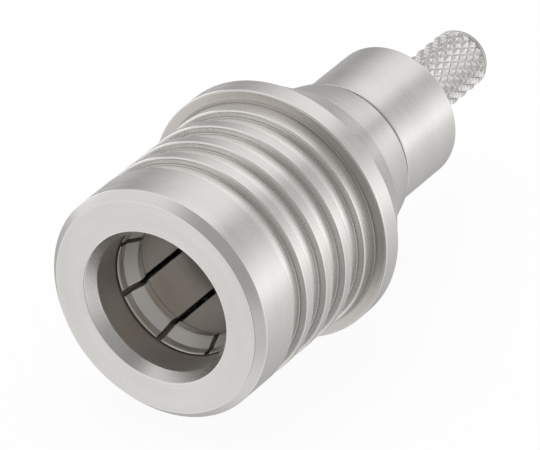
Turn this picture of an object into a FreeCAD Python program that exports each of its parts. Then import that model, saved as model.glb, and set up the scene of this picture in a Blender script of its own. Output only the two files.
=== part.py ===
import FreeCAD, Part
import Sketcher
import math
import os
import re

from FreeCAD import Placement, Rotation, Vector

# Push-on coaxial plug for a thin flexible cable.
# The plug lies along Y: mating face towards -Y, cable end towards +Y, +Z up.
# Sections are drawn with their length counted from the sleeve's mating face, in
# millimetres; each body is then moved so that the origin is in the middle of the
# gripping lip. Radii build outwards from the contact tube and lengths rearwards
# from the finger tips, so that each piece follows the one that it fits.

SIZES = {
    # clearances
    "running_gap": 0.04,
    "seat_gap": 0.02,
    "coil_gap": 0.20,
    # centre pin
    "pin_radius": 0.457,
    "pin_tip_radius": 0.20,
    "pin_taper": 0.55,
    "pin_reach": 2.02,
    "pin_step_height": 0.178,
    "pin_shoulder_height": 0.315,
    "pin_shoulder_length": 0.43,
    "barrel_setback": 0.25,
    "cup_wall": 0.345,
    "cup_depth": 1.70,
    "cup_window_radius": 0.16,
    "cup_window_setback": 0.35,
    # contact tube and its bead
    "tube_inner": 2.05,
    "tube_wall": 0.20,
    "tube_bevel": 0.08,
    "tube_reach": 0.58,
    "tube_seat_length": 3.10,
    "bead_recess": 0.20,
    "bead_setback": 0.10,
    # spring collet
    "nose_wall": 0.44,
    "finger_wall": 0.20,
    "finger_setback": 1.76,
    "finger_bevel": 0.07,
    "finger_bevel_length": 0.15,
    "lead_setback": 0.39,
    "lead_length": 0.58,
    "lip_height": 0.16,
    "lip_length": 0.24,
    "lip_back": 0.25,
    "jack_depth": 3.28,
    "slot_width": 0.25,
    "slot_past_nose": 0.45,
    "slot_count": 8,
    "slot_phase": 24.1,
    "root_height": 0.37,
    "root_setback": 0.40,
    "root_length": 1.25,
    # main body
    "body_step": 0.59,
    "ring_seat_depth": 0.25,
    "ring_setback": 1.35,
    "neck_drop": 0.65,
    "neck_length": 2.18,
    "neck_clear": 0.03,
    "neck_wall": 0.84,
    "cavity_step": 0.15,
    "cavity_length": 1.73,
    # return spring, washers and retaining ring
    "wire_radius": 0.22,
    "coil_turns": 5.0,
    "coil_steps": 18,
    "wire_sides": 6,
    "washer_thickness": 0.32,
    "washer_gap": 0.10,
    "retainer_thickness": 0.34,
    "retainer_gap": 0.05,
    "retainer_opening": 0.90,
    # coupling sleeve
    "sleeve_wall": 0.76,
    "face_bevel_height": 0.34,
    "face_bevel": 0.36,
    "mouth_bevel": 0.30,
    "mouth_bevel_length": 0.50,
    "guide_cover": 1.34,
    "relief_height": 0.53,
    "relief_taper": 0.52,
    "relief_length": 1.38,
    "grip_start": 2.30,
    "grip_width": 0.89,
    "grip_land": 0.52,
    "grip_depth": 0.33,
    "grip_count": 4,
    "collar_gap": 0.78,
    "collar_height": 0.52,
    "collar_length": 0.94,
    "collar_edge": 0.06,
    "rear_lip_length": 0.89,
    "rear_lip_wall": 0.14,
    # crimp body
    "seam_depth": 0.24,
    "seam_width": 0.20,
    "flange_drop": 0.07,
    "flange_length": 0.25,
    "housing_step": 0.30,
    "ferrule_length": 4.01,
    "ferrule_edge": 0.07,
    "bead_seat_step": 0.15,
    "bead_seat_length": 2.12,
    "rear_bead_length": 1.22,
    "cable_bore": 0.85,
    "tail_wall": 0.29,
    "knurl_height": 0.145,
    "knurl_starts": 20,
    "knurl_rows": 15,
    "knurl_row": 0.34,
    "tail_rim_drop": 0.035,
    "tail_rim_taper": 0.13,
    "tail_rim_length": 0.36,
}

# radii and lengths that follow from the driving sizes
FOLLOWS = {
    "bead_pin": "$pin_radius + $pin_step_height",
    "shoulder": "$bead_pin + $pin_shoulder_height",
    "cup": "$bead_pin - $cup_wall",
    "tube_outer": "$tube_inner + $tube_wall",
    "tube_seat": "$tube_outer + $seat_gap",
    "nose": "$tube_seat + $nose_wall",
    "finger_bore": "$nose + $seat_gap",
    "finger": "$finger_bore + $finger_wall",
    "finger_edge": "$finger - $finger_bevel",
    "lip": "$finger_bore - $lip_height",
    "root": "$finger + $root_height",
    "body": "$root + $body_step",
    "ring_seat": "$root - $ring_seat_depth",
    "coil": "$root + $coil_gap + $wire_radius",
    "chamber": "$coil + $wire_radius + $coil_gap",
    "guide": "$finger + $running_gap",
    "relief": "$guide + $relief_height",
    "rear_bore": "$body + $running_gap",
    "sleeve": "$chamber + $sleeve_wall",
    "grip_floor": "$sleeve - $grip_depth",
    "collar": "$sleeve + $collar_height",
    "neck": "$body - $neck_drop",
    "socket": "$neck - $neck_wall",
    "housing": "$neck - $housing_step",
    "cavity": "$tube_inner - $cavity_step",
    "bead_seat": "$cavity - $bead_seat_step",
    "tail_root": "$cable_bore + $tail_wall",
    "tail_crest": "$tail_root + $knurl_height",
    "tail_rim": "$tail_crest - $tail_rim_drop",
    "lead_at": "$finger_setback + $lead_setback",
    "lip_at": "$lead_at + $lead_length",
    "lip_end": "$lip_at + $lip_length",
    "bore_at": "$lip_end + $lip_back",
    "nose_at": "$bore_at + $jack_depth",
    "slot_end": "$nose_at + $slot_past_nose",
    "root_at": "$slot_end + $root_setback",
    "root_end": "$root_at + $root_length",
    "ring_at": "$root_end + $ring_setback",
    "ring_end": "$ring_at + $retainer_thickness + 2 * $seat_gap",
    "guide_end": "$finger_setback + $guide_cover",
    "relief_at": "$guide_end + $relief_taper",
    "chamber_at": "$relief_at + $relief_length",
    "sleeve_end": "$ring_end + $rear_lip_length",
    "grip_pitch": "$grip_width + $grip_land",
    "collar_at": "$grip_start + $grip_pitch * ($grip_count - 1) + $grip_width + $collar_gap",
    "collar_end": "$collar_at + $collar_length",
    "neck_at": "$sleeve_end + $neck_clear",
    "neck_end": "$neck_at + $neck_length",
    "seam_end": "$neck_end + $seam_width",
    "flange_end": "$seam_end + $flange_length",
    "ferrule_end": "$seam_end + $ferrule_length",
    "knurl_end": "$ferrule_end + $knurl_rows * $knurl_row",
    "tail_end": "$knurl_end + $tail_rim_length",
    "tube_at": "$nose_at - $tube_reach",
    "tube_stop": "$nose_at + $tube_seat_length",
    "bead_at": "$tube_at + $bead_recess",
    "bead_end": "$tube_stop - $bead_setback",
    "pin_at": "$bead_at - $pin_reach",
    "shoulder_at": "$bead_end + $seat_gap",
    "shoulder_end": "$shoulder_at + $pin_shoulder_length",
    "cavity_end": "$tube_stop + $cavity_length",
    "bead_seat_end": "$cavity_end + $bead_seat_length",
    "rear_bead_at": "$cavity_end + 2 * $seat_gap",
    "barrel_end": "$bead_seat_end - $barrel_setback",
    "origin": "($lip_at + $lip_end) / 2",
}

doc = FreeCAD.newDocument("CoaxPlug")

sheet = doc.addObject("Spreadsheet::Sheet", "Dims")
for line, (alias, value) in enumerate(SIZES.items(), start=1):
    sheet.set("A%d" % line, alias)
    sheet.set("B%d" % line, str(value))
    sheet.setAlias("B%d" % line, alias)
doc.recompute()


def in_cells(text):
    """Expression with each $name written as the full name of its cell."""
    def full_name(match):
        name = match.group(1)
        return ("Follows." if name in FOLLOWS else "Dims.") + name
    return re.sub(r"\$(\w+)", full_name, text)


derived = doc.addObject("Spreadsheet::Sheet", "Follows")
for line, (alias, rule) in enumerate(FOLLOWS.items(), start=1):
    derived.set("A%d" % line, alias)
    derived.set("B%d" % line, "=" + in_cells(rule).replace("Follows.", ""))
    derived.setAlias("B%d" % line, alias)
doc.recompute()


def size(alias):
    """Value of one named size, in millimetres or as a plain count."""
    return float((derived if alias in FOLLOWS else sheet).get(alias))


def amount(text):
    """Number that an expression written in $names stands for."""
    plain = re.sub(r"\$(\w+)", lambda match: "(%r)" % size(match.group(1)), text)
    return float(FreeCAD.Units.Quantity(plain))


def bind(obj, prop, text):
    """Tie a property to the sheets with an expression written in $names."""
    obj.setExpression(prop, in_cells(text))


def origin_feature(body, role):
    """One of the body's own origin planes or axes."""
    return [item for item in body.Origin.OriginFeatures if item.Role == role][0]


def new_body(label):
    """Empty body, moved so that the gripping lip's middle is the origin."""
    body = doc.addObject("PartDesign::Body", label)
    body.Label = label
    bind(body, "Placement.Base.y", "-($origin)")
    return body


def new_sketch(body, name, role):
    sketch = body.newObject("Sketcher::SketchObject", name)
    sketch.AttachmentSupport = (origin_feature(body, role), [""])
    sketch.MapMode = "FlatFace"
    sketch.Visibility = False
    return sketch


def outline(body, name, corners, role="XY_Plane"):
    """Closed chain of lines whose corners are each bound to the sheet."""
    sketch = new_sketch(body, name, role)
    spots = [Vector(amount(across), amount(along), 0) for across, along in corners]
    count = len(spots)
    for index in range(count):
        sketch.addGeometry(Part.LineSegment(spots[index], spots[(index + 1) % count]), False)
    for index in range(count):
        sketch.addConstraint(
            Sketcher.Constraint("Coincident", index, 2, (index + 1) % count, 1))
    for index, (across, along) in enumerate(corners):
        # geometry -1 is the sketch's origin and level axis, -2 its upright axis
        for kind, text, now, axis in (
            ("DistanceX", across, spots[index].x, -2),
            ("DistanceY", along, spots[index].y, -1),
        ):
            if text == "0":
                sketch.addConstraint(Sketcher.Constraint("PointOnObject", index, 1, axis))
                continue
            number = sketch.addConstraint(Sketcher.Constraint(kind, -1, 1, index, 1, now))
            bind(sketch, "Constraints[%d]" % number, text)
    return sketch


def turned(label, corners):
    """Body turned about the plug's axis from half of its section."""
    body = new_body(label)
    sketch = outline(body, label + "_section", corners)
    turn = body.newObject("PartDesign::Revolution", label + "_turned")
    turn.Profile = sketch
    turn.ReferenceAxis = (sketch, ["V_Axis"])
    turn.Angle = 360.0
    doc.recompute()
    return body


def flat_ring(label, inner, outer, front, rear):
    return turned(label, [(inner, front), (outer, front), (outer, rear), (inner, rear)])


def must_shrink(body, before, what):
    """A cut that points away from the solid shows no error, so compare volumes."""
    if not body.Shape.Volume < before - 1e-4:
        raise ValueError(what + " removed nothing from " + body.Label)


def pocket(body, sketch, name, depth):
    """Pocket to a depth, turned round if it would point away from the solid."""
    before = body.Shape.Volume
    cut = body.newObject("PartDesign::Pocket", name)
    cut.Profile = sketch
    bind(cut, "Length", depth)
    doc.recompute()
    if abs(body.Shape.Volume - before) < 1e-4:
        cut.Reversed = True
        doc.recompute()
    must_shrink(body, before, name)
    return cut


def coupling_sleeve():
    """Outer sleeve: ribbed grip, pull collar and the bore that backs the fingers."""
    body = turned("coupling_sleeve", [
        ("$guide + $mouth_bevel", "0"),
        ("$sleeve - $face_bevel_height", "0"),
        ("$sleeve", "$face_bevel"),
        ("$sleeve", "$collar_at"),
        ("$collar - $collar_edge", "$collar_at"),
        ("$collar", "$collar_at + $collar_edge"),
        ("$collar", "$collar_end - $collar_edge"),
        ("$collar - $collar_edge", "$collar_end"),
        ("$rear_bore + $rear_lip_wall", "$sleeve_end"),
        ("$rear_bore", "$sleeve_end"),
        ("$rear_bore", "$ring_end"),
        ("$chamber", "$ring_end"),
        ("$chamber", "$chamber_at"),
        ("$relief", "$chamber_at"),
        ("$relief", "$relief_at"),
        ("$guide", "$guide_end"),
        ("$guide", "$mouth_bevel_length"),
    ])
    before = body.Shape.Volume
    groove = body.newObject("PartDesign::Groove", "grip_groove")
    groove.Profile = outline(body, "grip_section", [
        ("$grip_floor", "$grip_start"),
        ("$sleeve + $grip_depth", "$grip_start"),
        ("$sleeve + $grip_depth", "$grip_start + $grip_width"),
        ("$grip_floor", "$grip_start + $grip_width"),
    ])
    groove.ReferenceAxis = (groove.Profile[0], ["V_Axis"])
    groove.Angle = 360.0
    doc.recompute()
    must_shrink(body, before, "grip_groove")
    one_groove = before - body.Shape.Volume
    rows = body.newObject("PartDesign::LinearPattern", "grip_grooves")
    rows.Originals = [groove]
    rows.Direction = (origin_feature(body, "Y_Axis"), [""])
    bind(rows, "Length", "$grip_pitch * ($grip_count - 1)")
    bind(rows, "Occurrences", "$grip_count")
    body.Tip = rows
    doc.recompute()
    must_shrink(body, before - one_groove * 1.5, "grip_grooves")
    return body


def spring_collet():
    """Thin tube split into fingers that spring over the jack's nose."""
    body = turned("spring_collet", [
        ("$finger_edge", "$finger_setback + $finger_bevel_length"),
        ("$finger", "$finger_setback"),
        ("$finger", "$root_at"),
        ("$root", "$root_at"),
        ("$root", "$root_end"),
        ("$finger_bore", "$root_end"),
        ("$finger_bore", "$bore_at"),
        ("$lip", "$lip_end"),
        ("$lip", "$lip_at"),
        ("$finger_edge", "$lead_at"),
    ])
    sketch = outline(body, "slot_outline", [
        ("$lip * 0.8", "$slot_width / 2"),
        ("$root", "$slot_width / 2"),
        ("$root", "-$slot_width / 2"),
        ("$lip * 0.8", "-$slot_width / 2"),
    ], "XZ_Plane")
    slot = pocket(body, sketch, "slot", "$slot_end")
    slots = body.newObject("PartDesign::PolarPattern", "slots")
    slots.Originals = [slot]
    slots.Axis = (origin_feature(body, "Y_Axis"), [""])
    slots.Angle = 360.0
    bind(slots, "Occurrences", "$slot_count")
    body.Tip = slots
    body.Placement.Rotation = Rotation(Vector(0, 1, 0), -size("slot_phase"))
    bind(body, "Placement.Rotation.Angle", "-$slot_phase")
    doc.recompute()
    return body


def main_body():
    """Inner housing: collet seat, retaining ring groove and the tapered neck."""
    return turned("main_body", [
        ("$tube_seat", "$nose_at"),
        ("$nose", "$nose_at"),
        ("$nose", "$root_end + $seat_gap"),
        ("$root", "$root_end + $seat_gap"),
        ("$root", "$ring_at"),
        ("$ring_seat", "$ring_at"),
        ("$ring_seat", "$ring_end"),
        ("$body", "$ring_end"),
        ("$body", "$neck_at"),
        ("$neck", "$neck_end"),
        ("$socket", "$neck_end"),
        ("$socket", "$cavity_end"),
        ("$cavity", "$cavity_end"),
        ("$cavity", "$tube_stop"),
        ("$tube_seat", "$tube_stop"),
    ])


def faceted_solid(rings, crest_split):
    """Closed solid of flat triangles laid over a row of rings, with a flat cap at each end."""
    around = len(rings[0])
    points = [point for ring in rings for point in ring]
    facets = []
    for row in range(len(rings) - 1):
        for step in range(around):
            here = row * around + step
            beside = row * around + (step + 1) % around
            above = here + around
            diagonal = beside + around
            if crest_split and (row + step) % 2 == 1:
                facets += [(here, beside, above), (beside, diagonal, above)]
            else:
                facets += [(here, beside, diagonal), (here, diagonal, above)]
    skin = Part.Shape()
    skin.makeShapeFromMesh((points, facets), 1e-5)
    caps = [Part.Face(Part.makePolygon(ring + [ring[0]])) for ring in (rings[0], rings[-1])]
    shell = Part.makeShell(list(skin.Faces) + caps)
    shell.sewShape()
    solid = Part.makeSolid(shell.Shells[0])
    if solid.Volume < 0:
        solid.reverse()
    return solid


def knurl_band():
    """Diamond knurl: crossed left and right ridges as one faceted sleeve of pyramids."""
    around = 2 * int(size("knurl_starts"))
    rings = []
    for row in range(int(size("knurl_rows")) + 1):
        ring = []
        for step in range(around):
            radius = size("tail_crest") if (row + step) % 2 else size("tail_root")
            angle = 2 * math.pi * step / around
            along = size("ferrule_end") + row * size("knurl_row")
            ring.append(Vector(radius * math.cos(angle), along, radius * math.sin(angle)))
        rings.append(ring)
    band = doc.addObject("Part::Feature", "knurl_band")
    band.Shape = faceted_solid(rings, True)
    bind(band, "Placement.Base.y", "-($origin)")
    return band


def round_bore(name, radius, start, end):
    bore = doc.addObject("Part::Cylinder", name)
    bind(bore, "Radius", radius)
    bind(bore, "Height", "%s - (%s)" % (end, start))
    bore.Placement = Placement(Vector(0, 0, 0), Rotation(Vector(1, 0, 0), -90))
    bind(bore, "Placement.Base.y", "%s - $origin" % start)
    return bore


def crimp_body():
    """Rear housing with the knurled spigot that the cable's braid is crimped on."""
    core = turned("crimp_core", [
        ("0", "$cavity_end + $seat_gap"),
        ("$socket - $seat_gap", "$cavity_end + $seat_gap"),
        ("$socket - $seat_gap", "$neck_end + $seat_gap"),
        ("$neck - $seam_depth", "$neck_end + $seat_gap"),
        ("$neck - $seam_depth", "$seam_end"),
        ("$neck - $flange_drop", "$seam_end"),
        ("$housing", "$flange_end"),
        ("$housing", "$ferrule_end - $ferrule_edge"),
        ("$housing - $ferrule_edge", "$ferrule_end"),
        ("$tail_root * 0.97", "$ferrule_end"),
        ("$tail_root * 0.97", "$knurl_end"),
        ("$tail_rim", "$knurl_end"),
        ("$tail_rim", "$tail_end - $tail_rim_length * 2 / 3"),
        ("$tail_rim - $tail_rim_taper", "$tail_end"),
        ("0", "$tail_end"),
    ])
    joined = doc.addObject("Part::Fuse", "crimp_solid")
    joined.Base = core
    joined.Tool = knurl_band()
    passage = doc.addObject("Part::Fuse", "passages")
    passage.Base = round_bore(
        "cable_passage", "$cable_bore", "$bead_seat_end - $bead_seat_length / 2", "$tail_end + 1")
    passage.Tool = round_bore(
        "bead_seat_bore", "$bead_seat", "$cavity_end - 1", "$bead_seat_end")
    body = doc.addObject("Part::Cut", "crimp_body")
    body.Label = "crimp_body"
    body.Base = joined
    body.Tool = passage
    doc.recompute()
    return body


def contact_tube():
    """Outer-conductor tube that enters the jack."""
    return turned("contact_tube", [
        ("$tube_inner", "$tube_at"),
        ("$tube_outer - $tube_bevel", "$tube_at"),
        ("$tube_outer", "$tube_at + $tube_bevel"),
        ("$tube_outer", "$tube_stop - $seat_gap"),
        ("$tube_inner", "$tube_stop - $seat_gap"),
    ])


def centre_pin():
    """Male pin with a shoulder behind the bead and a solder cup for the cable's core."""
    body = turned("centre_pin", [
        ("0", "$pin_at"),
        ("$pin_tip_radius", "$pin_at"),
        ("$pin_radius", "$pin_at + $pin_taper"),
        ("$pin_radius", "$bead_at - $seat_gap"),
        ("$bead_pin", "$bead_at - $seat_gap"),
        ("$bead_pin", "$shoulder_at"),
        ("$shoulder", "$shoulder_at"),
        ("$shoulder", "$shoulder_end"),
        ("$bead_pin", "$shoulder_end"),
        ("$bead_pin", "$barrel_end"),
        ("$cup", "$barrel_end"),
        ("$cup", "$barrel_end - $cup_depth"),
        ("0", "$barrel_end - $cup_depth"),
    ])
    sketch = new_sketch(body, "cup_window_outline", "XY_Plane")
    middle = amount("$barrel_end - $cup_window_setback")
    radius = size("cup_window_radius")
    sketch.addGeometry(Part.Circle(Vector(0, middle, 0), Vector(0, 0, 1), radius), False)
    sketch.addConstraint(Sketcher.Constraint("PointOnObject", 0, 3, -2))
    number = sketch.addConstraint(Sketcher.Constraint("DistanceY", -1, 1, 0, 3, middle))
    bind(sketch, "Constraints[%d]" % number, "$barrel_end - $cup_window_setback")
    number = sketch.addConstraint(Sketcher.Constraint("Radius", 0, radius))
    bind(sketch, "Constraints[%d]" % number, "$cup_window_radius")
    pocket(body, sketch, "cup_window", "$bead_pin * 1.5")
    return body


def retaining_ring():
    """Split ring in the body's groove: the sleeve's rear lip stops against it."""
    body = flat_ring("retaining_ring", "$ring_seat + $seat_gap", "$chamber - $retainer_gap",
                     "$ring_at + $seat_gap", "$ring_at + $seat_gap + $retainer_thickness")
    sketch = outline(body, "ring_gap_outline", [
        ("-$retainer_opening / 2", "$ring_at - 1"),
        ("$retainer_opening / 2", "$ring_at - 1"),
        ("$retainer_opening / 2", "$ring_end + 1"),
        ("-$retainer_opening / 2", "$ring_end + 1"),
    ])
    pocket(body, sketch, "ring_gap", "$chamber * 1.2")
    return body


def return_spring():
    """Coil spring, squeezed between the sleeve's washer and the seat on the retaining ring."""
    wire = size("wire_radius")
    front = amount("$chamber_at + $washer_thickness + 2 * $seat_gap")
    rear = amount("$ring_at - $washer_thickness - $seat_gap")
    length = rear - front - 2 * wire
    steps = int(size("coil_steps"))
    sides = int(size("wire_sides"))
    stations = int(round(size("coil_turns") * steps))
    along = Vector(0, 1, 0)
    rings = []
    for station in range(stations + 1):
        angle = 2 * math.pi * station / steps
        outward = Vector(math.cos(angle), 0, math.sin(angle))
        middle = outward * size("coil") + along * (front + wire + length * station / stations)
        rings.append([
            middle
            + outward * (wire * math.cos(2 * math.pi * side / sides))
            + along * (wire * math.sin(2 * math.pi * side / sides))
            for side in range(sides)
        ])
    spring = doc.addObject("Part::Feature", "return_spring")
    spring.Label = "return_spring"
    spring.Shape = faceted_solid(rings, False)
    bind(spring, "Placement.Base.y", "-($origin)")
    return spring


nodes = [
    coupling_sleeve(),
    spring_collet(),
    main_body(),
    crimp_body(),
    contact_tube(),
    flat_ring("front_insulator", "$bead_pin + $seat_gap", "$tube_inner - $seat_gap",
              "$bead_at", "$bead_end"),
    flat_ring("rear_insulator", "$bead_pin + $seat_gap", "$bead_seat - $seat_gap",
              "$rear_bead_at", "$rear_bead_at + $rear_bead_length"),
    centre_pin(),
    flat_ring("thrust_washer", "$root + $washer_gap", "$chamber - $washer_gap",
              "$chamber_at + $seat_gap", "$chamber_at + $seat_gap + $washer_thickness"),
    flat_ring("spring_seat", "$root + $washer_gap", "$chamber - $washer_gap",
              "$ring_at - $washer_thickness", "$ring_at"),
    retaining_ring(),
    return_spring(),
]
doc.recompute()

for obj in doc.Objects:
    if "Invalid" in obj.State or "Error" in obj.State:
        raise RuntimeError("failed: " + obj.Label)
for node in nodes:
    if node.Shape.isNull() or not node.Shape.isValid() or len(node.Shape.Solids) != 1:
        raise RuntimeError("bad shape: " + node.Label)

os.makedirs("parts", exist_ok=True)
for node in nodes:
    node.Shape.exportStep("parts/" + node.Label + ".step")
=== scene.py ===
import math

import bmesh
import bpy
import numpy as np
from mathutils import Matrix, Vector


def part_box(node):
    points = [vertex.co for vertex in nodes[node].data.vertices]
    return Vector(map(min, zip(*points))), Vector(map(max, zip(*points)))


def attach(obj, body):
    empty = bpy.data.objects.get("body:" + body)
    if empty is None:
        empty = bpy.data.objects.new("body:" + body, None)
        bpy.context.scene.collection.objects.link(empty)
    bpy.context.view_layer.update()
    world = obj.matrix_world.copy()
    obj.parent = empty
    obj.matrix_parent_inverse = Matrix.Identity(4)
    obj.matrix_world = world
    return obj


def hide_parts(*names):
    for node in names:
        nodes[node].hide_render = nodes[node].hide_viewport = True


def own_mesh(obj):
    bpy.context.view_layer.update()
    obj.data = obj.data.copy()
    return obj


MM = 0.001
MM_PER_METRE = 1000.0
# outlines are in millimetres, with lengths from the mating face, this far before the origin
FACE_TO_ORIGIN = 2.85
WHITE = (1.0, 1.0, 1.0, 1.0)

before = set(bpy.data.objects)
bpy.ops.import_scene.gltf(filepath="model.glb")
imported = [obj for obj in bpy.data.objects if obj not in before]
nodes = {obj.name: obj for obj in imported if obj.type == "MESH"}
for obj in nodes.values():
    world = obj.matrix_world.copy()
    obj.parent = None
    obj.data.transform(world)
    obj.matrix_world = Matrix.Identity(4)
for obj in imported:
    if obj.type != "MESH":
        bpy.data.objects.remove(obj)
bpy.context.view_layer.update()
scene = bpy.context.scene


# ---------------------------------------------------------------- node helpers

class Tree:
    """Short calls for building a node tree."""

    def __init__(self, tree):
        self.nodes = tree.nodes
        self.links = tree.links

    def add(self, kind, **settings):
        node = self.nodes.new(kind)
        for name, value in settings.items():
            setattr(node, name, value)
        return node

    def feed(self, socket, value):
        """Link a socket to another one, or set its value."""
        if isinstance(value, bpy.types.NodeSocket):
            self.links.new(value, socket)
        else:
            socket.default_value = value

    def math(self, operation, first, second=0.0):
        node = self.add("ShaderNodeMath", operation=operation)
        for socket, value in zip(node.inputs, (first, second)):
            self.feed(socket, value)
        return node.outputs[0]

    def plus(self, first, second):
        return self.math("ADD", first, second)

    def times(self, first, second):
        return self.math("MULTIPLY", first, second)

    def vector(self, x, y, z):
        node = self.add("ShaderNodeCombineXYZ")
        for socket, value in zip(node.inputs, (x, y, z)):
            self.feed(socket, value)
        return node.outputs[0]

    def split(self, vector):
        node = self.add("ShaderNodeSeparateXYZ")
        self.feed(node.inputs[0], vector)
        return node.outputs

    def noise(self, vector, scale, detail, rough):
        node = self.add("ShaderNodeTexNoise")
        self.feed(node.inputs["Vector"], vector)
        node.inputs["Scale"].default_value = scale
        node.inputs["Detail"].default_value = detail
        node.inputs["Roughness"].default_value = rough
        return node.outputs["Fac"]

    def remap(self, value, low, high, to_low, to_high, smooth=False):
        node = self.add("ShaderNodeMapRange")
        node.interpolation_type = "SMOOTHSTEP" if smooth else "LINEAR"
        self.feed(node.inputs["Value"], value)
        for name, number in (("From Min", low), ("From Max", high),
                             ("To Min", to_low), ("To Max", to_high)):
            node.inputs[name].default_value = number
        return node.outputs["Result"]

    def mix(self, factor, first, second, blend="MIX"):
        """Blend of two colours."""
        node = self.add("ShaderNodeMix", data_type="RGBA", blend_type=blend)
        self.feed(node.inputs["Factor"], factor)
        self.feed(node.inputs[6], first)
        self.feed(node.inputs[7], second)
        return node.outputs[2]

    def mix_shaders(self, factor, first, second):
        node = self.add("ShaderNodeMixShader")
        for socket, value in zip(node.inputs, (factor, first, second)):
            self.feed(socket, value)
        return node.outputs[0]

    def shine(self, kind, colour, strength):
        """Emission or Background shader."""
        node = self.add(kind)
        self.feed(node.inputs["Color"], colour)
        node.inputs["Strength"].default_value = strength
        return node.outputs[0]

    def ramp(self, value, stops):
        node = self.add("ShaderNodeValToRGB")
        self.feed(node.inputs["Fac"], value)
        ramp = node.color_ramp
        while len(ramp.elements) > 1:
            ramp.elements.remove(ramp.elements[-1])
        for index, (place, colour) in enumerate(stops):
            element = ramp.elements[0] if index == 0 else ramp.elements.new(place)
            element.position = place
            element.color = colour
        return node.outputs["Color"]

    def lobe(self, direction, middle, wide, narrow):
        """1 within narrow degrees of the middle direction, fading to 0 at wide degrees."""
        node = self.add("ShaderNodeVectorMath", operation="DOT_PRODUCT")
        self.feed(node.inputs[0], direction)
        node.inputs[1].default_value = middle
        return self.remap(node.outputs["Value"], math.cos(math.radians(wide)),
                          math.cos(math.radians(narrow)), 0.0, 1.0, smooth=True)


def opaque(colour):
    return (*colour, 1.0)


def grey(level):
    return (level, level, level, 1.0)


def cleared_tree(owner):
    """Empty node tree of a material or world."""
    owner.use_nodes = True
    owner.node_tree.nodes.clear()
    return Tree(owner.node_tree)


def material(name):
    made = bpy.data.materials.new(name)
    tree = cleared_tree(made)
    shader = tree.add("ShaderNodeBsdfPrincipled")
    tree.feed(tree.add("ShaderNodeOutputMaterial").inputs[0], shader.outputs[0])
    return made, tree, shader


def polar(tree):
    """Object position in millimetres as (vector, radius, length, angle) about the plug's axis."""
    scaled = tree.add("ShaderNodeVectorMath", operation="SCALE")
    tree.feed(scaled.inputs[0], tree.add("ShaderNodeTexCoord").outputs["Object"])
    scaled.inputs["Scale"].default_value = MM_PER_METRE
    x, y, z = tree.split(scaled.outputs[0])
    radius = tree.math("SQRT", tree.plus(tree.times(x, x), tree.times(z, z)))
    return scaled.outputs[0], radius, y, tree.math("ARCTAN2", z, x)


def attribute(tree, name):
    return tree.add("ShaderNodeAttribute", attribute_name=name).outputs["Fac"]


def relief(tree, shader, height):
    """Bump from a height in millimetres."""
    bump = tree.add("ShaderNodeBump")
    bump.inputs["Distance"].default_value = MM
    tree.feed(bump.inputs["Height"], height)
    tree.feed(shader.inputs["Normal"], bump.outputs[0])


# ------------------------------------------------------------------ materials

# radius and length are added in this ratio, so that marks run on over faces and walls alike
RADIUS_SHARE = 1.37
# width in millimetres over which a zone's shade comes in, on both sides of its border
ZONE_BLUR = 0.03


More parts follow.
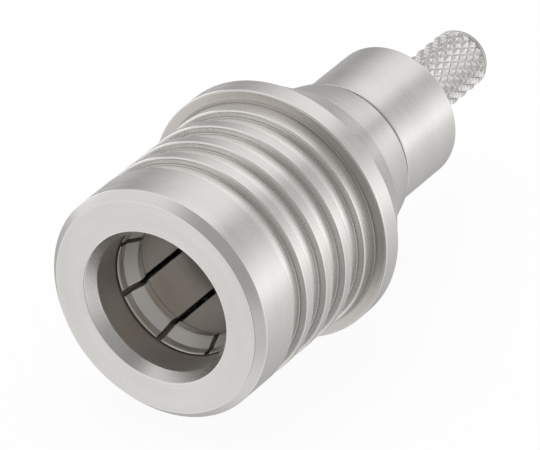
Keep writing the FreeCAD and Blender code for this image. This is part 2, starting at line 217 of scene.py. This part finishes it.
def turned_metal(name, colour, dark, roughness=0.30, marks=1.0, grain=1.0, stretch=0.55,
                 zones=()):
    """Satin plated metal: turning marks round the axis, fine grain, worn edges, dull corners.

    Each zone (inside radius, from length, to length, tint, added roughness) is a bore, face or
    rim whose tint darkens it as painted shade, or brightens it as painted light. Its lengths are
    the frame's own, from the origin.
    """
    made, tree, shader = material(name)
    place, radius, length, angle = polar(tree)
    around_x = tree.times(tree.math("COSINE", angle), 0.9)
    around_z = tree.times(tree.math("SINE", angle), 0.9)
    section = tree.plus(tree.times(radius, RADIUS_SHARE), length)

    def ringed(density, scale, detail, rough):
        vector = tree.vector(tree.times(section, density), around_x, around_z)
        return tree.noise(vector, scale, detail, rough)

    lines = ringed(density=9.0, scale=1.0, detail=3.0, rough=0.6)
    fine = ringed(density=34.0, scale=1.0, detail=2.0, rough=0.6)
    blotch = ringed(density=0.9, scale=1.3, detail=3.0, rough=0.55)
    grainy = tree.noise(place, scale=17.0, detail=3.0, rough=0.65)
    edge_wear_and_sheen = attribute(tree, "edge")
    painted_corner_shade = attribute(tree, "corner")

    shade = tree.plus(tree.times(lines, 0.30), tree.times(blotch, 0.45))
    shade = tree.plus(shade, tree.times(grainy, 0.25))
    tone = tree.mix(tree.remap(shade, 0.36, 0.66, 0.0, 1.0), opaque(dark), opaque(colour))
    # lighter edges and knurl crests: partly real wear, partly a painted highlight
    worn_and_highlight_tone = [min(1.0, c * 1.10) for c in colour]
    tone = tree.mix(tree.times(edge_wear_and_sheen, 0.40), tone, opaque(worn_and_highlight_tone))
    # painted shade: inner corners and knurl pits darkened
    corner_shade_colour = [c * 0.36 for c in dark]
    tone = tree.mix(tree.times(tree.math("POWER", painted_corner_shade, 1.5), 0.50), tone, opaque(corner_shade_colour))

    rough = tree.plus(tree.remap(lines, 0.25, 0.75, -0.05, 0.06),
                      tree.remap(grainy, 0.3, 0.7, -0.03, 0.05))
    rough = tree.plus(rough, roughness)
    for inside, low, high, tint, roughen in zones:
        within = tree.times(
            tree.remap(length, low - ZONE_BLUR, low + ZONE_BLUR, 0.0, 1.0),
            tree.remap(length, high - ZONE_BLUR, high + ZONE_BLUR, 1.0, 0.0))
        within = tree.times(within, tree.remap(radius, inside, inside - ZONE_BLUR, 0.0, 1.0))
        tone = tree.mix(within, tone, opaque(tint), "MULTIPLY")
        rough = tree.plus(rough, tree.times(within, roughen))
    rough = tree.math("SUBTRACT", rough, tree.times(edge_wear_and_sheen, 0.07))
    tree.feed(shader.inputs["Base Color"], tone)
    tree.feed(shader.inputs["Roughness"], tree.math("MAXIMUM", rough, 0.12))

    height = tree.plus(tree.times(lines, 0.0016 * marks), tree.times(fine, 0.0006 * marks))
    relief(tree, shader, tree.plus(height, tree.times(grainy, 0.0010 * grain)))

    tangent = tree.add("ShaderNodeTangent", direction_type="RADIAL", axis="Y")
    tree.feed(shader.inputs["Tangent"], tangent.outputs[0])
    shader.inputs["Anisotropic"].default_value = stretch
    shader.inputs["Anisotropic Rotation"].default_value = 0.25
    shader.inputs["Metallic"].default_value = 1.0
    return made


def ring_marks(radius_share, density):
    """Noise coordinates that run round the axis, for simple_look."""
    def build(tree, radius, length, angle):
        section = tree.plus(tree.times(radius, radius_share), length)
        return tree.vector(tree.times(section, density), tree.math("COSINE", angle),
                           tree.math("SINE", angle))
    return build


def drawn_marks(tree, radius, length, angle):
    """Noise coordinates of a drawn or stamped surface, for simple_look."""
    return tree.vector(tree.times(radius, 26.0), tree.times(length, 26.0),
                       tree.times(tree.math("SINE", angle), 2.0))


def simple_look(name, marks, cloud, tones, roughness, depth, metallic, wax=0.0):
    """Surface with fine marks in its roughness and relief, and clouds of two tones.

    cloud is (scale, detail) of the clouds, roughness the (low, high) that the marks run
    between, depth the marks' height in millimetres, and wax how far light goes in.
    """
    made, tree, shader = material(name)
    place, radius, length, angle = polar(tree)
    lines = tree.noise(marks(tree, radius, length, angle), 1.0, 3.0, 0.6)
    patch = tree.remap(tree.noise(place, *cloud, 0.6), 0.3, 0.7, 0.0, 1.0)
    tree.feed(shader.inputs["Base Color"], tree.mix(patch, *map(opaque, tones)))
    tree.feed(shader.inputs["Roughness"], tree.remap(lines, 0.2, 0.8, *roughness))
    relief(tree, shader, tree.times(lines, depth))
    shader.inputs["Metallic"].default_value = metallic
    if wax:
        shader.inputs["Subsurface Weight"].default_value = wax
        shader.inputs["Subsurface Radius"].default_value = (0.6, 0.6, 0.6)
        shader.inputs["Subsurface Scale"].default_value = MM
    return made


PLATE = (0.800, 0.782, 0.760)
PLATE_DARK = (0.725, 0.706, 0.682)
# painted light: the collet's plate is a lighter copy of the shell's plate, so that the fingers
# and contact tube inside the mouth read brighter
COLLET_LIGHTER_PLATE = (0.90, 0.88, 0.85)
COLLET_LIGHTER_PLATE_DARK = (0.80, 0.78, 0.75)

shell_metal = turned_metal("plated_shell", PLATE, PLATE_DARK, roughness=0.26, grain=0.35, zones=[
    (3.02, -1.12, 0.60, (0.38, 0.33, 0.31), 0.20),   # painted shade: mouth's bore beside the fingers, darkened
    (3.02, -2.33, -1.12, (0.86, 0.83, 0.82), 0.10),  # painted shade: mouth's bore in front of the fingers, darkened
    (5.41, 5.30, 5.42, (0.84, 0.82, 0.80), 0.05),    # painted shade: collar's front face, darkened
    (4.62, -0.60, 5.20, (1.20, 1.20, 1.20), 0.00),   # painted light: floors of the grooves, brightened
])
spigot_metal = turned_metal(
    "plated_spigot", PLATE, PLATE_DARK, roughness=0.25, marks=0.4, grain=0.4, stretch=0.2,
    zones=[(1.30, 19.93, 20.50, (0.78, 0.77, 0.76), 0.05)])  # painted shade: rim at the cable end, darkened
collet_metal = turned_metal(
    "plated_collet", COLLET_LIGHTER_PLATE, COLLET_LIGHTER_PLATE_DARK, roughness=0.30, marks=0.5, grain=0.2,
    zones=[
        (2.90, -1.20, -0.92, (0.76, 0.75, 0.73), 0.10),  # painted shade: front edge of the fingers, darkened
        (2.88, -0.72, -0.08, (1.10, 1.11, 1.12), 0.16),  # painted light: lead-in cone, brightened
        (2.76, 0.30, 6.00, (1.03, 1.01, 1.00), 0.16),    # painted light: bore behind the lip, tinted slightly lighter
    ])
gold = simple_look(
    "gold_contact", ring_marks(RADIUS_SHARE, 14.0), cloud=(4.0, 3.0),
    tones=[(0.78, 0.64, 0.42), (0.88, 0.75, 0.52)], roughness=(0.14, 0.26), depth=0.0008,
    metallic=1.0)
steel = simple_look(
    "spring_steel", drawn_marks, cloud=(3.0, 3.0),
    tones=[(0.50, 0.49, 0.47), (0.62, 0.61, 0.60)], roughness=(0.22, 0.38), depth=0.0012,
    metallic=1.0)
dielectric = simple_look(
    "white_dielectric", ring_marks(1.0, 11.0), cloud=(2.5, 4.0),
    tones=[(0.80, 0.79, 0.76), (0.90, 0.90, 0.88)], roughness=(0.38, 0.52), depth=0.0012,
    metallic=0.0, wax=0.15)


# ------------------------------------------------------------- turned pieces

# largest share of a side that a corner's rounding and the point beside it may take
ROUNDING_SHARE = 0.45
BESIDE_SHARE = 0.3
# a rounding's neighbour on the flat: its distance at an inner corner, and at most at an outer
BESIDE_INNER = 0.06
BESIDE_OUTER = 0.04
ON_AXIS = 1e-6
# degrees over which a side between two faces is shaded sharp, unless a piece has its own
SHARP_OVER = 38.0


def eased(corners, steps):
    """Outline with its corners rounded.

    Each corner is (radius, length, easing). The result has a point's radius, length,
    and how much it lies on an outer edge or in an inner corner, with close neighbours
    beside each rounding so that the flats stay flat.
    """
    count = len(corners)
    spots = np.array([(c[0], c[1]) for c in corners], float)
    area = sum(spots[i][0] * spots[(i + 1) % count][1] - spots[(i + 1) % count][0] * spots[i][1]
               for i in range(count))
    turn_sign = 1.0 if area > 0 else -1.0
    made = []
    for index in range(count):
        here = spots[index]
        easing = corners[index][2]
        before = spots[index - 1] - here
        after = spots[(index + 1) % count] - here
        long_before, long_after = np.linalg.norm(before), np.linalg.norm(after)
        before, after = before / long_before, after / long_after
        cross = (-before[0]) * after[1] - (-before[1]) * after[0]
        turn = math.atan2(cross, float(np.dot(-before, after)))
        if easing <= 0 or abs(turn) < 1e-3:
            made.append((here[0], here[1], 0.0, 0.0))
            continue
        reach = min(easing * math.tan(abs(turn) / 2),
                    ROUNDING_SHARE * long_before, ROUNDING_SHARE * long_after)
        bend = reach / math.tan(abs(turn) / 2)
        start, end = here + before * reach, here + after * reach
        inward = (before + after) / np.linalg.norm(before + after)
        centre = here + inward * (bend / math.cos(turn / 2))
        first = math.atan2(*(start - centre)[::-1])
        outer = 1.0 if turn * turn_sign > 0 else 0.0
        beside = min(0.5 * bend, BESIDE_OUTER) if outer else BESIDE_INNER
        arc = [start + before * min(beside, BESIDE_SHARE * (long_before - reach))]
        marks = [0.0]
        for step in range(steps + 1):
            angle = first + turn * step / steps
            arc.append(centre + bend * np.array([math.cos(angle), math.sin(angle)]))
            marks.append(1.0)
        arc.append(end + after * min(beside, BESIDE_SHARE * (long_after - reach)))
        marks.append(0.0)
        for point, mark in zip(arc, marks):
            made.append((point[0], point[1], mark * outer, mark * (1.0 - outer)))
    return made


def on_circle(radius, length, angle):
    """Point at an angle about the plug's axis."""
    return radius * math.cos(angle), length, radius * math.sin(angle)


def finish_mesh(name, points, faces, edge, corner, sharp_over=SHARP_OVER):
    """Mesh object in metres, in the row frame, with edge and corner weights, which the materials
    use for lighter edges with a painted highlight and for painted corner shade.

    Sides that bend by more than sharp_over degrees are shaded sharp.
    """
    mesh = bpy.data.meshes.new(name)
    shift = np.array([0.0, -FACE_TO_ORIGIN, 0.0])
    mesh.from_pydata([tuple((np.array(p) + shift) * MM) for p in points], [], faces)
    for label, values in (("edge", edge), ("corner", corner)):
        layer = mesh.attributes.new(label, "FLOAT", "POINT")
        layer.data.foreach_set("value", np.array(values, np.float32))
    work = bmesh.new()
    work.from_mesh(mesh)
    bmesh.ops.remove_doubles(work, verts=work.verts, dist=1e-8)
    bmesh.ops.dissolve_degenerate(work, edges=work.edges, dist=1e-9)
    bmesh.ops.recalc_face_normals(work, faces=work.faces)
    limit = math.radians(sharp_over)
    for face in work.faces:
        face.smooth = True
    for side in work.edges:
        if len(side.link_faces) == 2 and side.calc_face_angle(0.0) > limit:
            side.smooth = False
    work.to_mesh(mesh)
    work.free()
    made = bpy.data.objects.new(name, mesh)
    scene.collection.objects.link(made)
    return made


def lathe(name, corners, around=256, steps=4, shape=None, sharp_over=SHARP_OVER):
    """Piece turned about the plug's axis from a closed outline.

    shape(radius, length, angle) may change a point's radius, as a knurl does, and says how
    much the point lies on a crest and in a pit.
    """
    outline = eased(corners, steps)
    points, edge, corner = [], [], []
    for radius, length, on_edge, in_corner in outline:
        for step in range(around):
            angle = 2 * math.pi * step / around
            here, crest, pit = shape(radius, length, angle) if shape else (radius, 0.0, 0.0)
            points.append(on_circle(here, length, angle))
            edge.append(max(on_edge, crest))
            corner.append(max(in_corner, pit))
    faces = []
    count = len(outline)
    for row in range(count):
        after = (row + 1) % count
        if outline[row][0] < ON_AXIS and outline[after][0] < ON_AXIS:
            continue
        for step in range(around):
            beside = (step + 1) % around
            faces.append((row * around + step, row * around + beside,
                          after * around + beside, after * around + step))
    return finish_mesh(name, points, faces, edge, corner, sharp_over)


def place(piece, body, node, slot, look):
    """Put a piece in the place of its CAD node, on that node's body."""
    piece.data.materials.append(look)
    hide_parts(node)
    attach(piece, body)


# outlines below are lists of (radius, length, easing of the corner)
EASE = 0.035

# coupling sleeve: ribbed grip, pull collar and rear cone
SLEEVE_RADIUS = 4.90
GROOVE_FLOOR = 4.57
GROOVE_START, GROOVE_WIDTH, GROOVE_PITCH, GROOVES = 2.30, 0.89, 1.41, 4

sleeve_corners = [(3.27, 0.0, 0.05), (4.56, 0.0, 0.05), (SLEEVE_RADIUS, 0.36, 0.06)]
for groove in range(GROOVES):
    start = GROOVE_START + GROOVE_PITCH * groove
    end = start + GROOVE_WIDTH
    sleeve_corners += [(SLEEVE_RADIUS, start, 0.06), (GROOVE_FLOOR, start, 0.07),
                       (GROOVE_FLOOR, end, 0.06), (SLEEVE_RADIUS, end, 0.07)]
sleeve_corners += [
    (SLEEVE_RADIUS, 8.20, 0.08), (5.42, 8.20, 0.07), (5.42, 9.08, 0.04), (5.36, 9.14, 0.04),
    (4.07, 11.22, EASE), (3.93, 11.22, EASE), (3.93, 10.33, EASE), (4.14, 10.33, EASE),
    (4.14, 5.00, EASE), (3.50, 5.00, EASE), (3.50, 3.62, EASE), (2.97, 3.10, EASE),
    (2.97, 0.50, 0.08),
]
sleeve = lathe("sleeve_shell", sleeve_corners, around=288)
place(sleeve, "sleeve", "coupling_sleeve", "plated_shell", shell_metal)

# inner housing, with the neck behind the sleeve's rear lip
housing = lathe("housing_shell", [
    (2.27, 6.50, EASE), (2.71, 6.50, EASE), (2.71, 8.62, EASE), (3.30, 8.62, EASE),
    (3.30, 9.95, EASE), (3.05, 9.95, EASE), (3.05, 10.33, EASE), (3.89, 10.33, EASE),
    (3.89, 11.25, 0.10), (3.24, 13.43, 0.04), (2.40, 13.43, EASE), (2.40, 11.33, EASE),
    (1.90, 11.33, EASE), (1.90, 9.60, EASE), (2.27, 9.60, EASE),
], around=224)
place(housing, "plug_body", "main_body", "plated_shell", shell_metal)

# crimp body with its diamond-knurled spigot
KNURL_START, KNURL_ROW, KNURL_ROWS, KNURL_STARTS = 17.64, 0.34, 15, 20
KNURL_ROOT, KNURL_CREST = 1.14, 1.285
KNURL_END = KNURL_START + KNURL_ROW * KNURL_ROWS
KNURL_STEPS = 6 * KNURL_ROWS
# share of a ridge's height at which it is cut flat
KNURL_FLAT = 0.80


def knurl(radius, length, angle):
    """Crossed grooves between flat-topped diamonds on the spigot's outside."""
    if not KNURL_START + 1e-4 < length < KNURL_END + 1e-4 or not 1.0 < radius < 1.3:
        return radius, 0.0, 0.0
    along = (length - KNURL_START) / (2 * KNURL_ROW)
    turns = angle / (2 * math.pi) * KNURL_STARTS
    heights = []
    for lead in (turns + along, turns - along):
        part = lead - math.floor(lead)
        heights.append(1.0 - abs(2.0 * part - 1.0))
    top = min(1.0, min(heights) / KNURL_FLAT)
    # crest weight lightens the ridges as a painted highlight; pit weight darkens the pits as
    # painted shade
    return (KNURL_ROOT + (KNURL_CREST - KNURL_ROOT) * top,
            max(0.0, 2 * top - 1), 0.35 * (1 - top))


spigot_corners = [
    (0.85, 13.45, 0.02), (1.75, 13.45, 0.02), (1.75, 11.35, 0.02), (2.38, 11.35, 0.03),
    (2.38, 13.45, 0.0), (3.00, 13.45, 0.02), (3.00, 13.63, 0.03), (3.17, 13.63, 0.03),
    (2.94, 13.88, 0.03), (2.94, KNURL_START, 0.09), (1.13, KNURL_START, 0.0),
]
spigot_corners += [
    (KNURL_ROOT, KNURL_START + (KNURL_END - KNURL_START) * (step + 0.5) / KNURL_STEPS, 0.0)
    for step in range(KNURL_STEPS)]
spigot_corners += [
    (1.20, KNURL_END + 0.02, 0.0), (1.25, KNURL_END + 0.07, 0.02), (1.25, 22.86, 0.04),
    (1.12, 23.10, 0.03), (0.85, 23.10, 0.03),
]
spigot = lathe("crimp_shell", spigot_corners, around=240, shape=knurl, sharp_over=30.0)
place(spigot, "plug_body", "crimp_body", "plated_shell", spigot_metal)

# contact tube
tube = lathe("tube_shell", [
    (2.05, 5.92, 0.03), (2.25, 5.92, 0.08), (2.25, 9.58, 0.02), (2.05, 9.58, 0.02),
], around=160)
place(tube, "plug_body", "contact_tube", "plated_collet", collet_metal)

# centre pin, with its solder cup at the rear
pin = lathe("pin_shell", [
    (0.0, 4.10, 0.0), (0.20, 4.10, 0.10), (0.457, 4.65, 0.3), (0.457, 6.10, 0.02),
    (0.635, 6.10, 0.02), (0.635, 9.52, 0.02), (0.95, 9.52, 0.03), (0.95, 9.95, 0.03),
    (0.635, 9.95, 0.02), (0.635, 13.20, 0.04), (0.29, 13.20, 0.04), (0.29, 11.50, 0.02),
    (0.0, 11.50, 0.0),
], around=96, steps=3)
place(pin, "plug_body", "centre_pin", "gold_contact", gold)


# slotted spring collet
def slotted_collet(name, corners, slot_end, slot_width, count, phase, around):
    """Thin turned tube whose front is split into fingers by parallel-sided slots."""
    outline = eased(corners, 3)
    total = len(outline)
    pitch = 2 * math.pi / count
    points, edge, corner = [], [], []
    for radius, length, on_edge, in_corner in outline:
        half = math.asin(slot_width / 2 / radius)
        for finger in range(count):
            for step in range(around + 1):
                angle = phase + finger * pitch + half + (pitch - 2 * half) * step / around
                points.append(on_circle(radius, length, angle))
                edge.append(on_edge)
                corner.append(in_corner)
    row_size = count * (around + 1)
    # outline rows that the slots reach, in their order round the outline
    split = [index for index in range(total) if outline[index][1] <= slot_end + 1e-6]
    first = next(index for index in split if (index - 1) % total not in split)
    run = [(first + k) % total for k in range(len(split))]
    # last column of each finger, and the first one of the finger after it
    gaps = [(finger * (around + 1) + around, (finger + 1) % count * (around + 1))
            for finger in range(count)]
    faces = []
    for row in range(total):
        after = (row + 1) % total
        here, ahead = row * row_size, after * row_size
        for finger, (side, opposite) in enumerate(gaps):
            base = finger * (around + 1)
            for step in range(base, base + around):
                faces.append((here + step, here + step + 1, ahead + step + 1, ahead + step))
            if row not in split or after not in split:
                faces.append((here + side, here + opposite, ahead + opposite, ahead + side))
    for side, opposite in gaps:
        faces.append([index * row_size + side for index in run])
        faces.append([index * row_size + opposite for index in reversed(run)])
        faces.append((run[0] * row_size + side, run[0] * row_size + opposite,
                      run[-1] * row_size + opposite, run[-1] * row_size + side))
    return finish_mesh(name, points, faces, edge, corner)


SLOT_END = 6.95
collet = slotted_collet("collet_fingers", [
    (2.86, 1.91, 0.02), (2.93, 1.76, 0.03), (2.93, SLOT_END, 0.0), (2.93, 7.35, 0.03),
    (3.30, 7.35, 0.03), (3.30, 8.60, 0.03), (2.73, 8.60, 0.02), (2.73, SLOT_END, 0.0),
    (2.73, 3.22, 0.10), (2.57, 2.97, 0.05), (2.57, 2.73, 0.05), (2.86, 2.15, 0.03),
], slot_end=SLOT_END, slot_width=0.25, count=8, phase=math.radians(24.1), around=26)
place(collet, "plug_body", "spring_collet", "plated_collet", collet_metal)

# return spring: the CAD coil with a rounder wire
WIRE_RADIUS, COIL_RADIUS, COIL_TURNS = 0.22, 3.72, 5
SPRING_FRONT, SPRING_REAR = 5.36, 9.63


def coil_spring(name, around=14, steps=48):
    """Round wire wound about the plug's axis, with around points round it and steps a turn."""
    stations = COIL_TURNS * steps
    length = SPRING_REAR - SPRING_FRONT - 2 * WIRE_RADIUS
    points, faces = [], []
    for station in range(stations + 1):
        angle = 2 * math.pi * station / steps
        middle = SPRING_FRONT + WIRE_RADIUS + length * station / stations
        for side in range(around):
            lean = 2 * math.pi * side / around
            points.append(on_circle(COIL_RADIUS + WIRE_RADIUS * math.cos(lean),
                                    middle + WIRE_RADIUS * math.sin(lean), angle))
    for station in range(stations):
        here, ahead = station * around, (station + 1) * around
        for side in range(around):
            beside = (side + 1) % around
            faces.append((here + side, here + beside, ahead + beside, ahead + side))
    faces.append(list(range(around)))
    faces.append(list(reversed(range(stations * around, (stations + 1) * around))))
    plain = [0.0] * len(points)
    return finish_mesh(name, points, faces, plain, plain, sharp_over=60.0)


spring = coil_spring("spring_coil")
place(spring, "plug_body", "return_spring", "spring_steel", steel)
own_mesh(spring)

# nodes that are shown with their CAD mesh
for node, look in (
    ("front_insulator", dielectric), ("rear_insulator", dielectric),
    ("thrust_washer", steel), ("spring_seat", steel), ("retaining_ring", steel),
):
    mesh = nodes[node].data
    mesh.materials.clear()
    mesh.materials.append(look)


# ------------------------------------------------------------------- studio

# camera fitted to the photograph: its angles, focal length in the photograph's pixels, and
# place to the right, above and back from the middle of the mating face
AZIMUTH = math.radians(32.288)
ELEVATION = math.radians(31.242)
FOCAL_PIXELS, PHOTO_WIDTH, SENSOR_WIDTH = 6500.0, 540.0, 36.0
CAMERA_RIGHT, CAMERA_ABOVE, CAMERA_BACK = 4.4289, 3.1923, 249.5745

right = Vector((math.cos(AZIMUTH), math.sin(AZIMUTH), 0.0))
back = Vector((math.sin(AZIMUTH) * math.cos(ELEVATION),
               -math.cos(AZIMUTH) * math.cos(ELEVATION), math.sin(ELEVATION)))
above = back.cross(right)
face_centre = Vector((0.0, -FACE_TO_ORIGIN, 0.0))
stand = face_centre + right * CAMERA_RIGHT + above * CAMERA_ABOVE + back * CAMERA_BACK

camera_data = bpy.data.cameras.new("camera")
camera_data.sensor_fit = "HORIZONTAL"
camera_data.sensor_width = SENSOR_WIDTH
camera_data.lens = FOCAL_PIXELS / PHOTO_WIDTH * SENSOR_WIDTH
camera_data.clip_start = 0.01
camera_data.clip_end = 20.0
camera = bpy.data.objects.new("camera", camera_data)
scene.collection.objects.link(camera)
facing = Matrix((right, above, back)).transposed().to_4x4()
camera.matrix_world = Matrix.Translation(stand * MM) @ facing
scene.camera = camera

# floor: nearly white to the camera, with the plug's soft shadow kept
FLOOR_HALF = 3.0
FLOOR_GAP = 0.0002
FLOOR_GLOW = 0.93
PAPER, PAPER_PALE = grey(0.86), grey(0.90)

floor_mesh = bpy.data.meshes.new("floor")
floor_mesh.from_pydata([(-FLOOR_HALF, -FLOOR_HALF, 0), (FLOOR_HALF, -FLOOR_HALF, 0),
                        (FLOOR_HALF, FLOOR_HALF, 0), (-FLOOR_HALF, FLOOR_HALF, 0)], [],
                       [(0, 1, 2, 3)])
floor = bpy.data.objects.new("floor", floor_mesh)
floor.location = (0.0, 0.0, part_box("coupling_sleeve")[0].z - FLOOR_GAP)
scene.collection.objects.link(floor)
paper = bpy.data.materials.new("paper")
tree = cleared_tree(paper)
grainy = tree.noise(tree.add("ShaderNodeTexCoord").outputs["Object"], 900.0, 3.0, 0.6)
diffuse = tree.add("ShaderNodeBsdfDiffuse")
tree.feed(diffuse.inputs["Color"], tree.mix(grainy, PAPER, PAPER_PALE))
glow = tree.shine("ShaderNodeEmission", WHITE, 1.0)
seen = tree.add("ShaderNodeLightPath")
share = tree.times(seen.outputs["Is Camera Ray"], FLOOR_GLOW)
tree.feed(tree.add("ShaderNodeOutputMaterial").inputs[0],
          tree.mix_shaders(share, diffuse.outputs[0], glow))
floor_mesh.materials.append(paper)
floor.visible_glossy = False

# surroundings: white to the camera, a pale room with soft bands to the metal

# bands behind the plug: (degrees about the plug's axis, level)
BANDS = (
    (-180, 0.43), (-140, 0.49), (-101, 0.49), (-81, 0.58), (-61, 0.63), (-41, 0.73),
    (-21, 0.85), (-1, 1.28), (19, 0.98), (38.6, 0.66), (58.6, 0.56), (78.6, 0.97),
    (98.6, 0.98), (118.6, 0.88), (138.6, 0.63), (158.6, 0.43), (178.6, 0.39),
)
# strength of what the metal mirrors (the ramp's levels are divided by it, since they may
# not pass 1), and of the plain room that lights the rest
METAL_LIGHT = 2.0
ROOM_LIGHT = 0.75
# pale front, then its soft patches: (direction, fading from, full within, level)
FRONT_LEVEL = 0.435
FRONT_PATCHES = (
    ((0.45, -0.27, 0.85), 52, 15, 0.15),
    ((0.586, -0.710, 0.389), 52, 5, 0.205),
    ((0.351, -0.802, -0.483), 40, 12, 0.17),
)
# white card beside the plug, over front and bands alike
CARD = ((-0.928, 0.359, 0.100), 20, 9, 0.88)
# y of a direction: the front alone until the first, the bands alone from the second
FRONT_UNTIL, BANDS_FROM = -0.15, 0.40

world = bpy.data.worlds.new("studio")
scene.world = world
tree = cleared_tree(world)
direction = tree.add("ShaderNodeTexCoord").outputs["Generated"]
x, y, z = tree.split(direction)
turned_by = tree.remap(tree.math("ARCTAN2", z, x), -math.pi, math.pi, 0.0, 1.0)
room = tree.ramp(turned_by, [((degrees + 180.0) / 360.0, grey(level / METAL_LIGHT))
                             for degrees, level in BANDS])
front = grey(FRONT_LEVEL)
for middle, wide, narrow, level in FRONT_PATCHES:
    front = tree.mix(tree.lobe(direction, middle, wide, narrow), front, grey(level))
behind = tree.remap(y, FRONT_UNTIL, BANDS_FROM, 0.0, 1.0, smooth=True)
mirrored = tree.mix(tree.lobe(direction, *CARD[:3]), tree.mix(behind, front, room),
                    grey(CARD[3]))
seen = tree.add("ShaderNodeLightPath")
shiny = tree.math("MAXIMUM", seen.outputs["Is Glossy Ray"], seen.outputs["Is Transmission Ray"])
plain = tree.shine("ShaderNodeBackground", WHITE, ROOM_LIGHT)
metal_sees = tree.shine("ShaderNodeBackground", mirrored, METAL_LIGHT)
camera_sees = tree.shine("ShaderNodeBackground", WHITE, 1.0)
lit = tree.mix_shaders(shiny, plain, metal_sees)
tree.feed(tree.add("ShaderNodeOutputWorld").inputs[0],
          tree.mix_shaders(seen.outputs["Is Camera Ray"], lit, camera_sees))

# soft lamp for the shadow on the floor, unseen by the metal
LAMP_SIDE = 0.25
lamp_data = bpy.data.lights.new("overhead", "AREA")
lamp_data.shape = "RECTANGLE"
lamp_data.size = LAMP_SIDE
lamp_data.size_y = LAMP_SIDE
lamp_data.energy = 0.35
lamp = bpy.data.objects.new("overhead", lamp_data)
lamp.location = (-0.05, 0.02, 0.30)
lamp.rotation_euler = (-lamp.location).to_track_quat("-Z", "Y").to_euler()
lamp.visible_glossy = False
scene.collection.objects.link(lamp)

scene.view_settings.view_transform = "Standard"
